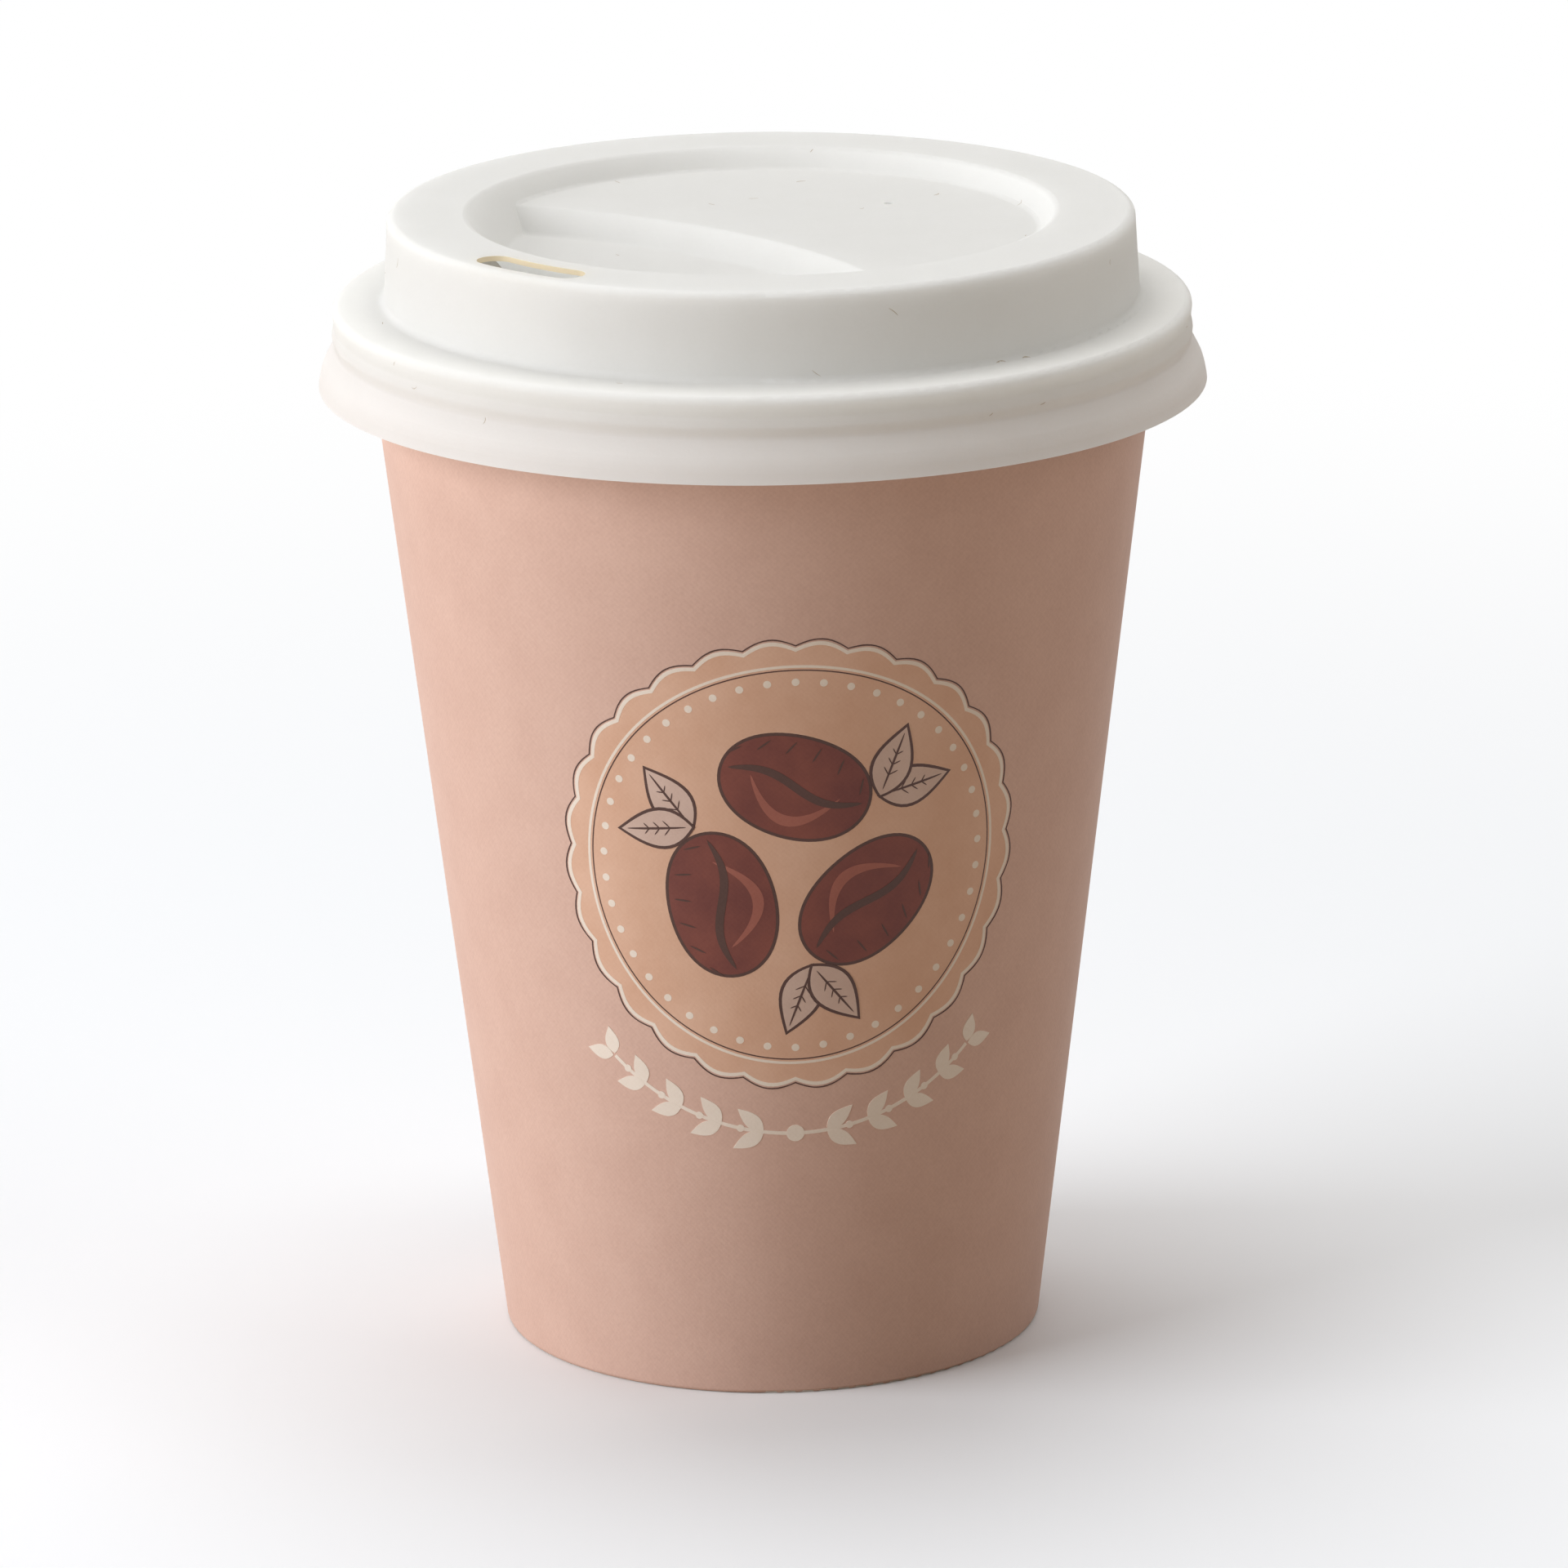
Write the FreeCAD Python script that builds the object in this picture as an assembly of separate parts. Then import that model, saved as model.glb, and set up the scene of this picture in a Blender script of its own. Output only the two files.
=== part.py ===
import FreeCAD, Part
import math
import os

# Paper coffee cup with a moulded fibre lid. Sizes are in millimetres. The cup stands on z = 0 with
# its axis on Z. The drinking side of the lid is at the front left, between -X and -Y, and the side
# seam of the cup is at the back, on +Y.

# Paperboard cup
board = 0.4              # thickness of the paperboard
foot_r = 29.05           # outer radius of the sidewall where it stands on the table
rim_r = 44.7             # outer radius of the rolled rim
cup_height = 112.4       # table to the top of the rolled rim
curl_r = 1.45            # outer radius of the roll's own section
curl_turn = 300.0        # how far the rim is rolled, in degrees
hem_gap = 1.2            # the folded hem's top edge to the underside of the bottom disc
fold_r = 0.1             # radius inside the hem's two bends
glue_gap = 0.05          # glue film between two layers of board
floor_height = 7.4       # table to the underside of the bottom disc
floor_bend = 0.3         # radius inside the disc's turned edge
skirt_lift = 0.15        # from the fold up to the disc's lower edge
seam_angle = 90.0        # where the outer layer of the side seam ends, seen from above
seam_width = 7.0         # overlap of the side seam at mid height
seam_ramp = 6.0          # length over which the outer layer comes down to the wall
seam_end = 1.2           # plain wall between the seam's overlap and the hem or the roll
seam_bite = 0.08         # how far the ends of the ramps run under the surface they meet

# Moulded fibre lid
fibre = 0.55             # thickness of the moulded sheet
lid_clearance = 0.3      # air between the lid and the rolled rim, beside it and above it
groove = 0.25            # depth of the two grooves in the bead
inner_bend = 0.3         # smallest radius inside an outward corner of the sheet
outer_bend = 0.8         # smallest radius outside an inward corner of the sheet
upper_groove_drop = 2.1  # flange down to the upper groove
ridge_drop = 3.2         # flange down to the ridge between the grooves
lower_groove_drop = 4.2  # flange down to the lower groove
flare_drop = 6.85        # flange down to where the skirt turns nearly upright
flare = 1.15             # how far the skirt stands out of the bead there
flare_bend = 5.0         # radius of that turn
skirt_drop = 8.75        # flange down to the skirt's lower edge
lip_flare = 1.5          # how far the skirt's lower edge stands out of the bead
flange_width = 5.6       # bead to the foot of the dome
flange_rise = 0.25       # how much the flange rises towards the dome
dome_height = 9.55       # flange to the top ring
dome_draft = 3.2         # lean of the dome's wall, in degrees
ring_width = 8.35        # dome's wall to the sunk floor's edge, over the ring's flat top
recess_draft = 40.0      # lean of the sunk floor's wall, in degrees
plateau_drop = 2.2       # ring down to the upper level of the sunk floor
well_drop = 4.8          # ring down to the lower level of the sunk floor
step_angle = 225.0       # direction that the step between the levels faces, seen from above
step_reach = 3.0         # lid's axis to the middle of the step's upper edge
step_bow = 65.0          # radius to which the step's upper edge is bowed, seen from above
step_slope = 45.0        # lean of the step's face, in degrees
crest_round = 0.6        # rounding of the step's upper edge
foot_round = 1.0         # rounding of the step's foot
sip_angle = 228.0        # direction of the sip hole, seen from above
sip_length = 14.0        # sip hole, end to end
sip_width = 3.9          # sip hole, across
sip_margin = 1.7         # dome's wall to the sip hole's outer edge
vent_r = 0.5             # radius of the vent hole
vent_x = 13.7            # vent hole, right of the axis
vent_y = 12.0            # vent hole, behind the axis
edge_search = 0.01       # how near an edge lies to a level or a circle to count as on it

# Sizes that follow
curl_centre = (rim_r - curl_r, cup_height - curl_r)
curl_reach = math.hypot(curl_centre[0] - foot_r, curl_centre[1])
wall_lean = (math.atan2(curl_centre[0] - foot_r, curl_centre[1])
             - math.asin((curl_r - board) / curl_reach))
hem_width = 3 * board + 2 * glue_gap
hem_height = floor_height - hem_gap
groove_r = rim_r + lid_clearance + fibre
bead_r = groove_r + groove
flange_z = cup_height + lid_clearance + fibre
lip_z = flange_z - skirt_drop
ring_z = flange_z + dome_height
plateau_z = ring_z - plateau_drop
well_z = ring_z - well_drop
dome_foot_r = bead_r - flange_width
ring_r = dome_foot_r - dome_height * math.tan(math.radians(dome_draft))
recess_r = ring_r - ring_width
well_r = recess_r - well_drop * math.tan(math.radians(recess_draft))
sip_r = ring_r - sip_margin - sip_width / 2


def point(r, z):
    """A point of a section, at radius r in the XZ plane."""
    return FreeCAD.Vector(r, 0, z)


def polar(r, degrees, z):
    """A point at radius r and an angle seen from above."""
    a = math.radians(degrees)
    return FreeCAD.Vector(r * math.cos(a), r * math.sin(a), z)


def rounded_line(corners):
    """Edges through corners (r, z, rounding): straight runs, with a tangent arc at each rounding."""
    edges = []
    last = point(*corners[0][:2])
    for before, corner, after in zip(corners, corners[1:], corners[2:]):
        here = point(*corner[:2])
        back = (point(*before[:2]) - here).normalize()
        ahead = (point(*after[:2]) - here).normalize()
        half = back.getAngle(ahead) / 2
        start = here + back * (corner[2] / math.tan(half))
        end = here + ahead * (corner[2] / math.tan(half))
        inward = (back + ahead).normalize()
        middle = here + inward * (corner[2] / math.sin(half) - corner[2])
        edges.append(Part.LineSegment(last, start).toShape())
        edges.append(Part.Arc(start, middle, end).toShape())
        last = end
    edges.append(Part.LineSegment(last, point(*corners[-1][:2])).toShape())
    return edges


def offset_line(corners, distance):
    """The same corners moved to the right of the way they run, with roundings that stay concentric."""
    runs = [FreeCAD.Vector(b[0] - a[0], b[1] - a[1], 0).normalize() for a, b in zip(corners, corners[1:])]
    sides = [FreeCAD.Vector(run.y, -run.x, 0) for run in runs]
    moved = [(corners[0][0] + sides[0].x * distance, corners[0][1] + sides[0].y * distance, 0)]
    for corner, run, side, next_run, next_side in zip(corners[1:], runs, sides, runs[1:], sides[1:]):
        shift = (side + next_side) * (distance / (1 + side.dot(next_side)))
        turn = 1 if run.cross(next_run).z > 0 else -1
        moved.append((corner[0] + shift.x, corner[1] + shift.y, corner[2] + turn * distance))
    moved.append((corners[-1][0] + sides[-1].x * distance, corners[-1][1] + sides[-1].y * distance, 0))
    return moved


def straight(*points):
    """Straight edges from point to point."""
    return [Part.LineSegment(a, b).toShape() for a, b in zip(points, points[1:])]


def lies_at(edge, z):
    """Whether an edge is level, and at height z."""
    return edge.BoundBox.ZLength < edge_search and abs(edge.BoundBox.ZMax - z) < edge_search


def turned(edges):
    """The solid that a closed section sweeps in a full turn about the axis."""
    face = Part.Face(Part.Wire(Part.__sortEdges__(edges)))
    return face.revolve(FreeCAD.Vector(0, 0, 0), FreeCAD.Vector(0, 0, 1), 360)


def wall_radius(z, depth):
    """Radius of a layer of the sidewall at height z, at a depth below its outer face."""
    return foot_r + z * math.tan(wall_lean) - depth / math.cos(wall_lean)


def curl_point(radius, degrees_rolled):
    """A point of the rolled rim, counted from where the wall runs into it."""
    a = math.pi - wall_lean - math.radians(degrees_rolled)
    return point(curl_centre[0] + radius * math.cos(a), curl_centre[1] + radius * math.sin(a))


def curl_arc(radius):
    """One face of the rolled rim's board."""
    return Part.Arc(*[curl_point(radius, curl_turn * share) for share in (0, 0.5, 1)]).toShape()


def seam_section(z, outer_start, outer_end, inner, angles):
    """A slice of the seam at height z. Its outer edge runs level over the overlap and then ramps."""
    start, level, end = angles
    wall = wall_radius(z, 0)
    middle = (level + end) / 2
    ramp_middle = wall + (outer_start + outer_end) / 2
    edges = [
        Part.Arc(*[polar(wall + inner, a, z) for a in (start, (start + end) / 2, end)]).toShape(),
        Part.LineSegment(polar(wall + inner, end, z), polar(wall + outer_end, end, z)).toShape(),
        Part.Arc(polar(wall + outer_end, end, z), polar(ramp_middle, middle, z),
                 polar(wall + outer_start, level, z)).toShape(),
    ]
    if level > start:
        edges.append(Part.Arc(*[polar(wall + outer_start, a, z)
                                for a in (level, (start + level) / 2, start)]).toShape())
    edges += straight(polar(wall + outer_start, start, z), polar(wall + inner, start, z))
    return Part.Wire(edges)


def seam_band(outer_start, outer_end, inner, angles):
    """A slice of the seam carried up the wall, from just over the fold to just under the roll."""
    low = board + fold_r + seam_end
    high = cup_height - 2 * curl_r - seam_end
    sections = [seam_section(z, outer_start, outer_end, inner, angles) for z in (low, high)]
    return Part.makeLoft(sections, True, True)


def make_sidewall():
    """The wrapped blank: hem at the foot, cone, rolled rim, and the overlapped seam up the back."""
    slant = 1 / math.cos(wall_lean)
    bend_out = fold_r + board
    outside = rounded_line([
        (curl_point(curl_r - board, 0).x, curl_point(curl_r - board, 0).z, 0),
        (wall_radius(0, 0), 0, bend_out),
        (wall_radius(0, hem_width), 0, bend_out),
        (wall_radius(hem_height, hem_width), hem_height, 0),
    ])
    inside = rounded_line([
        (wall_radius(hem_height, hem_width - board), hem_height, 0),
        (wall_radius(board, hem_width - board), board, fold_r),
        (wall_radius(board, board), board, fold_r),
        (curl_point(curl_r, 0).x, curl_point(curl_r, 0).z, 0),
    ])
    hem_edge = straight(point(wall_radius(hem_height, hem_width), hem_height),
                        point(wall_radius(hem_height, hem_width - board), hem_height))
    rim_edge = straight(curl_point(curl_r, curl_turn), curl_point(curl_r - board, curl_turn))
    wall = turned(outside + hem_edge + inside + rim_edge + [curl_arc(curl_r), curl_arc(curl_r - board)])

    mean_r = wall_radius(cup_height / 2, 0)
    overlap_end = seam_angle + math.degrees(seam_width / mean_r)
    ramp_end = overlap_end + math.degrees(seam_ramp / mean_r)
    layer = board * slant
    outer_layer = seam_band(layer, -seam_bite, -layer / 2, (seam_angle, overlap_end, ramp_end))
    inner_hollow = seam_band(0, -layer - seam_bite, -layer - 2 * seam_bite,
                             (overlap_end, overlap_end, ramp_end))
    return wall.fuse(outer_layer).cut(inner_hollow)


def make_bottom():
    """The bottom disc with its edge turned down into the hem."""
    outer = board + glue_gap
    inner = outer + board
    edge_z = board + skirt_lift
    top_z = floor_height + board
    upper = rounded_line([
        (wall_radius(edge_z, outer), edge_z, 0),
        (wall_radius(top_z, outer), top_z, floor_bend + board),
        (0, top_z, 0),
    ])
    lower = rounded_line([
        (0, floor_height, 0),
        (wall_radius(floor_height, inner), floor_height, floor_bend),
        (wall_radius(edge_z, inner), edge_z, 0),
    ])
    axis_edge = straight(point(0, top_z), point(0, floor_height))
    lower_edge = straight(point(wall_radius(edge_z, inner), edge_z),
                          point(wall_radius(edge_z, outer), edge_z))
    return turned(upper + axis_edge + lower + lower_edge)


def lid_corners():
    """The lid's upper face as corners (r, z, rounding), from the axis out and down to the lip."""
    outward = inner_bend + fibre
    return [
        (0, well_z, 0),
        (well_r, well_z, foot_round),
        (recess_r, ring_z, outward),
        (ring_r, ring_z, outward),
        (dome_foot_r, flange_z + flange_rise, outer_bend),
        (bead_r, flange_z, outward),
        (groove_r, flange_z - upper_groove_drop, outer_bend),
        (bead_r, flange_z - ridge_drop, outward),
        (groove_r, flange_z - lower_groove_drop, outer_bend),
        (bead_r + flare, flange_z - flare_drop, flare_bend),
        (bead_r + lip_flare, lip_z, 0),
    ]


def closed_to_axis(corners):
    """The solid under a line that starts on the axis."""
    first, last = corners[0], corners[-1]
    foot = point(0, last[1])
    return turned(rounded_line(corners) + straight(point(*last[:2]), foot, point(*first[:2])))


def plateau_block(depth):
    """The raised back part of the sunk floor, its faces a depth below the sheet's upper side. A wide
    bore with a sloped wall and a rounded foot cuts its front to the step."""
    slope = math.radians(step_slope)
    foot_z, top_z = well_z - depth, plateau_z - depth
    crest_r = step_bow + depth / math.cos(slope)
    foot_r = crest_r - (plateau_z - foot_z) * math.tan(slope)
    floor_and_wall = rounded_line([(0, foot_z, 0), (foot_r, foot_z, foot_round + depth),
                                   (crest_r, plateau_z, 0)])
    bore = turned(floor_and_wall + straight(point(crest_r, plateau_z), point(0, plateau_z),
                                            point(0, foot_z)))
    bore.translate(polar(step_reach + step_bow, step_angle, 0))
    base_z = lip_z + fibre
    return Part.makeCylinder(recess_r, top_z - base_z, point(0, base_z)).cut(bore)


def two_level_form(corners, depth):
    """The solid under a face of the sheet, with the plateau in its sunk floor."""
    form = closed_to_axis(corners).fuse(plateau_block(depth))
    wall_foot = [edge for edge in form.Edges if lies_at(edge, plateau_z - depth)
                 and edge.Curve.Radius < recess_r]
    return form.makeFillet(outer_bend + depth, wall_foot)


def sip_slot():
    """The space of the sip hole: a slot that follows the ring, with round ends."""
    half = math.degrees((sip_length - sip_width) / 2 / sip_r)
    low, high = sip_angle - half, sip_angle + half
    end_reach = math.degrees(sip_width / 2 / sip_r)
    z = ring_z - 2 * fibre
    near, far = sip_r - sip_width / 2, sip_r + sip_width / 2
    edges = [
        Part.Arc(polar(far, low, z), polar(far, sip_angle, z), polar(far, high, z)).toShape(),
        Part.Arc(polar(far, high, z), polar(sip_r, high + end_reach, z), polar(near, high, z)).toShape(),
        Part.Arc(polar(near, high, z), polar(near, sip_angle, z), polar(near, low, z)).toShape(),
        Part.Arc(polar(near, low, z), polar(sip_r, low - end_reach, z), polar(far, low, z)).toShape(),
    ]
    return Part.Face(Part.Wire(edges)).extrude(FreeCAD.Vector(0, 0, 3 * fibre))


def make_lid():
    """The moulded sheet: the form of its upper face less the form of its underside, and the holes."""
    upper = lid_corners()
    lip, turn = upper[-1], upper[-2]
    longer = (2 * lip[0] - turn[0], 2 * lip[1] - turn[1], 0)
    body = two_level_form(upper, 0)
    crest = [edge for edge in body.Edges if lies_at(edge, plateau_z)
             and isinstance(edge.Curve, Part.Circle) and edge.Curve.Radius > recess_r]
    body = body.makeFillet(crest_round, crest)
    hollow = two_level_form(offset_line(upper[:-1] + [longer], fibre), fibre)
    vent = Part.makeCylinder(vent_r, 3 * fibre, FreeCAD.Vector(vent_x, vent_y, plateau_z - 2 * fibre))
    return body.cut(hollow).cut(sip_slot()).cut(vent)


os.makedirs("parts", exist_ok=True)
pieces = {"cup_sidewall": make_sidewall(), "cup_bottom": make_bottom(), "lid": make_lid()}
for name, shape in pieces.items():
    solid = shape.Solids[0]
    solid.exportStep("parts/" + name + ".step")
    print(name, "solids", len(shape.Solids), "valid", solid.isValid(), "volume", round(solid.Volume, 1))
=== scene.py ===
# %% [markdown]
# A takeaway coffee cup. The real one is a fan of white cup board, printed and matt laminated, that
# is wrapped to a cone, glued down the back and rolled over at the rim. A press-on lid of moulded
# plant fibre closes it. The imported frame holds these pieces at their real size. This lesson gives
# them their finish, prints a badge on the wall, and lights them as a studio would.

# %% Load the frame
import math
import random

import bmesh
import bpy
from mathutils import Matrix, Vector


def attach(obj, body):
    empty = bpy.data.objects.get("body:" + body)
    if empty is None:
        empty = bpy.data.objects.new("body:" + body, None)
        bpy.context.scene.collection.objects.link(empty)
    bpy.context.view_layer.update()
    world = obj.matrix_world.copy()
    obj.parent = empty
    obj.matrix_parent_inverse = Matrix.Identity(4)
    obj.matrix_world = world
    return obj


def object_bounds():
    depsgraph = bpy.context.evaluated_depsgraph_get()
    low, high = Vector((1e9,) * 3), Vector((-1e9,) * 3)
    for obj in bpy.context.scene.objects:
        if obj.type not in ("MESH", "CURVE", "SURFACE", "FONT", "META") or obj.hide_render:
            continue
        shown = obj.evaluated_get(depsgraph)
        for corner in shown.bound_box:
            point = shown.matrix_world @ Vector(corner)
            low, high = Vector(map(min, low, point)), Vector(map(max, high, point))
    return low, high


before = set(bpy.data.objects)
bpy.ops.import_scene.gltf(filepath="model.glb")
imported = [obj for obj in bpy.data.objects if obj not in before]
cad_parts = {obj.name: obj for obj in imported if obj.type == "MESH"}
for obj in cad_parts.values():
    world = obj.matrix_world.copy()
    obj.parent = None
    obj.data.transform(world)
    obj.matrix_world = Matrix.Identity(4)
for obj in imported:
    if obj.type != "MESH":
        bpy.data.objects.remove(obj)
cad_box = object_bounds()
MM = 0.001
print("nodes:", sorted(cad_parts))

# %% [markdown]
# A paint program shows a colour as a hex code, and a shader wants it as linear light. One function
# turns the first into the second, so each colour in this file can be read and compared by eye.

# %% Colours from hex codes
def colour(code):
    """Linear red, green, blue and alpha from an sRGB hex code."""
    shares = [int(code[i:i + 2], 16) / 255 for i in (0, 2, 4)]
    linear = [s / 12.92 if s <= 0.04045 else ((s + 0.055) / 1.055) ** 2.4 for s in shares]
    return linear + [1.0]


print("a mid grey, 808080, is", round(colour("808080")[0], 3), "in linear light")

# %% [markdown]
# Every material is a small tree of nodes. One helper adds a node and fills its inputs at once. An
# input can take a plain value, one output of another node, or the whole node, whose live output is
# then used. Reading a tree from bottom to top tells what the surface shows.

# %% A helper that adds a node
def add_node(tree, kind, inputs, **settings):
    """Adds a shader node, with its settings, and fills or links its inputs."""
    node = tree.nodes.new("ShaderNode" + kind)
    for name, value in settings.items():
        setattr(node, name, value)
    for name, value in inputs.items():
        if isinstance(value, bpy.types.Node):
            value = next(socket for socket in value.outputs if socket.enabled)
        if isinstance(value, bpy.types.NodeSocket):
            tree.links.new(value, node.inputs[name])
        else:
            node.inputs[name].default_value = value
    return node


def new_tree(name):
    """An empty material and its tree."""
    material = bpy.data.materials.new(name)
    material.use_nodes = True
    material.node_tree.nodes.clear()
    return material, material.node_tree


print("materials before this lesson's own:", sorted(m.name for m in bpy.data.materials))

# %% [markdown]
# The photographer stood about a metre away, with a long lens, a little above the lid. The camera
# takes that place. Its turn is built from the line of sight, and then leans by 0.6 of a degree.

# %% Camera
PHOTO_SIDE = 1920                       # the photograph's width and height, in pixels
PHOTO_REACH = 11600.8                   # the lens's focal length, in the same pixels
EYE = Vector((0.0, -0.98253, 0.34107))  # where the lens is, in metres
AIM = Vector((0.0018, 0.0, 0.05932))    # the point that it looks at
LEAN = -0.0105                          # its lean to one side, in radians
SENSOR_MM = 36.0

camera_data = bpy.data.cameras.new("camera")
camera_data.sensor_width = SENSOR_MM
camera_data.lens = PHOTO_REACH / PHOTO_SIDE * SENSOR_MM
camera = bpy.data.objects.new("camera", camera_data)
bpy.context.scene.collection.objects.link(camera)
ahead = (AIM - EYE).normalized()
level_right = ahead.cross(Vector((0, 0, 1))).normalized()
plumb_up = level_right.cross(ahead)
right = math.cos(LEAN) * level_right + math.sin(LEAN) * plumb_up
above = math.cos(LEAN) * plumb_up - math.sin(LEAN) * level_right
camera.matrix_world = Matrix.Translation(EYE) @ Matrix((right, above, -ahead)).transposed().to_4x4()
bpy.context.scene.camera = camera
print("lens", round(camera_data.lens, 1), "mm, looking down by",
      round(math.degrees(-math.asin(ahead.z)), 1), "degrees")

# %% [markdown]
# The cup stands on seamless white paper. Lit at a plain level, even white paper falls short of the
# white of a screen. Stronger lamps would whiten it, but they would burn out the lid. So the lamps
# stay plain, and what looks straight at the paper, or mirrors it, sees it lifted a little, and sees
# it fade to plain white further off. The cup's shadow stays. The soft light that the paper throws
# back at the cup comes from a duller sheet, which keeps the cup's dark side dark. The Standard view
# shows each colour as its hex code says.

# %% Floor
bpy.context.scene.view_settings.view_transform = "Standard"
FLOOR_HALF = 6.0                        # metres
FLOOR_LIFT = 0.01                       # what is seen on top of the paper's own light
FADE_START, FADE_END = 0.15, 0.45       # metres from the cup, over which the paper fades to white


def in_sight(tree):
    """1 for the light that the camera, a gloss or a glass looks along, and 0 for soft light."""
    path = add_node(tree, "LightPath", {})
    gloss = add_node(tree, "Math", {0: path.outputs["Is Camera Ray"], 1: path.outputs["Is Glossy Ray"]},
                     operation="MAXIMUM")
    return add_node(tree, "Math", {0: gloss, 1: path.outputs["Is Transmission Ray"]}, operation="MAXIMUM")


def studio_paper():
    """White paper, lifted and faded for what looks straight at it."""
    material, tree = new_tree("studio_paper")
    place = add_node(tree, "TexCoord", {}).outputs["Object"]
    distance = add_node(tree, "VectorMath", {0: place}, operation="LENGTH")
    fade = add_node(tree, "MapRange", {0: distance, 1: FADE_START, 2: FADE_END},
                    interpolation_type="SMOOTHSTEP")
    bright = add_node(tree, "BsdfDiffuse", {"Color": colour("F8FBFE")})
    lift = add_node(tree, "Emission", {"Color": colour("FFFFFF"), "Strength": FLOOR_LIFT})
    lifted = add_node(tree, "AddShader", {0: bright, 1: lift})
    white = add_node(tree, "Emission", {"Color": colour("FFFFFF"), "Strength": 1.0})
    faded = add_node(tree, "MixShader", {0: fade, 1: lifted, 2: white})
    dull = add_node(tree, "BsdfDiffuse", {"Color": colour("AC9780")})
    shown = add_node(tree, "MixShader", {0: in_sight(tree), 1: dull, 2: faded})
    add_node(tree, "OutputMaterial", {"Surface": shown})
    return material


def finished(name, bm, material):
    """An object from a bmesh, in the scene and in its material."""
    mesh = bpy.data.meshes.new(name)
    bm.to_mesh(mesh)
    bm.free()
    mesh.materials.append(material)
    piece = bpy.data.objects.new(name, mesh)
    bpy.context.scene.collection.objects.link(piece)
    print(name, "has", len(mesh.polygons), "faces")
    return piece


bm = bmesh.new()
bmesh.ops.create_grid(bm, x_segments=1, y_segments=1, size=FLOOR_HALF)
finished("floor", bm, studio_paper())

# %% [markdown]
# One large soft box stands low on the left and a little to the front. It models the cone from light
# to dark and throws the long soft shadow. A second one hangs over the cup. It lights what faces up
# and draws the short shadow round the foot. A weak card on the right lifts the dark side, and a dim
# room fills the rest. A lamp's watts say little by themselves, so each lamp is given by how light
# it makes a surface that faces it, and its watts follow from its distance. What faces up gets about
# as much light as its colour is written for.

# %% Lights
CUP_MIDDLE = Vector((0, 0, 0.07))       # what every lamp faces, in metres
ROOM = 0.18                             # the room's light on the cup


def soft_box(name, azimuth, elevation, distance, side, level, tint):
    """A square lamp. A surface that faces it shows the share of its colour that level says."""
    data = bpy.data.lights.new(name, "AREA")
    data.size = side
    data.color = colour(tint)[:3]
    data.energy = level * math.pi ** 2 * distance ** 2
    lamp = bpy.data.objects.new(name, data)
    bpy.context.scene.collection.objects.link(lamp)
    a, e = math.radians(azimuth), math.radians(elevation)
    way = Vector((math.cos(a) * math.cos(e), math.sin(a) * math.cos(e), math.sin(e)))
    lamp.location = CUP_MIDDLE + way * distance
    lamp.rotation_euler = way.to_track_quat("Z", "Y").to_euler()
    print(name, "at", [round(c, 2) for c in lamp.location], round(data.energy, 1), "W")


soft_box("key_box", azimuth=199, elevation=16, distance=1.6, side=1.2, level=1.05, tint="FBFCFF")
soft_box("top_box", azimuth=102, elevation=76, distance=1.6, side=1.1, level=0.61, tint="FFFFFF")
soft_box("side_card", azimuth=348, elevation=30, distance=1.5, side=0.9, level=0.15, tint="FFF8F2")

world = bpy.data.worlds.new("white_room")
bpy.context.scene.world = world
world.use_nodes = True
sky = world.node_tree
sky.nodes.clear()
room = add_node(sky, "Background", {"Color": colour("FFF8F1"), "Strength": ROOM})
white = add_node(sky, "Background", {"Color": colour("FFFFFF"), "Strength": 1.0})
both = add_node(sky, "MixShader", {0: in_sight(sky), 1: room, 2: white})
add_node(sky, "OutputWorld", {"Surface": both})
print("the room fills in with", ROOM)

# %% [markdown]
# Patterns are scaled from real sizes. A noise texture of scale 1 has features about one unit across,
# and a unit here is a metre, so a feature of so many millimetres needs this scale.

# %% Pattern scale
def per(size_mm):
    """The noise scale that gives features of this size in millimetres."""
    return 1 / (size_mm * MM)


print("features of half a millimetre need scale", per(0.5))

# %% [markdown]
# The wall is a cone, and the print is laid out on that cone. Its slope isn't a size that was set:
# the wall is the straight line from the foot that just touches the roll of the rim. So the slope
# is worked out from the sizes that were set.

# %% The wall's cone
FOOT_R = 29.05           # the wall's outer radius on the table, in mm
BOARD = 0.4              # the board's thickness, in mm
ROLL_R = 1.45            # the outer radius of the roll's own section, in mm
ROLL_OUT, ROLL_UP = 43.25, 110.95       # the roll's middle, from the axis and from the table, in mm
roll_reach = math.hypot(ROLL_OUT - FOOT_R, ROLL_UP)
wall_lean = math.atan2(ROLL_OUT - FOOT_R, ROLL_UP) - math.asin((ROLL_R - BOARD) / roll_reach)
wall_slope = math.tan(wall_lean)
print("the wall leans by", round(math.degrees(wall_lean), 2), "degrees")

# %% [markdown]
# Cup board is white paperboard of 0.4 mm. Its outer face is printed and then covered with a matt
# film. The film lies over the felt-like grain of the paper and the faint cross of the wire that the
# paper was formed on. Both could come from a picture of paper, but that would end at a seam. A
# height pattern that is worked out from the place of each point has none, and the cross is laid
# round the cone, so that it follows the wall. The film itself is a thin dull coat, which gives a
# soft, dry sheen.

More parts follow.
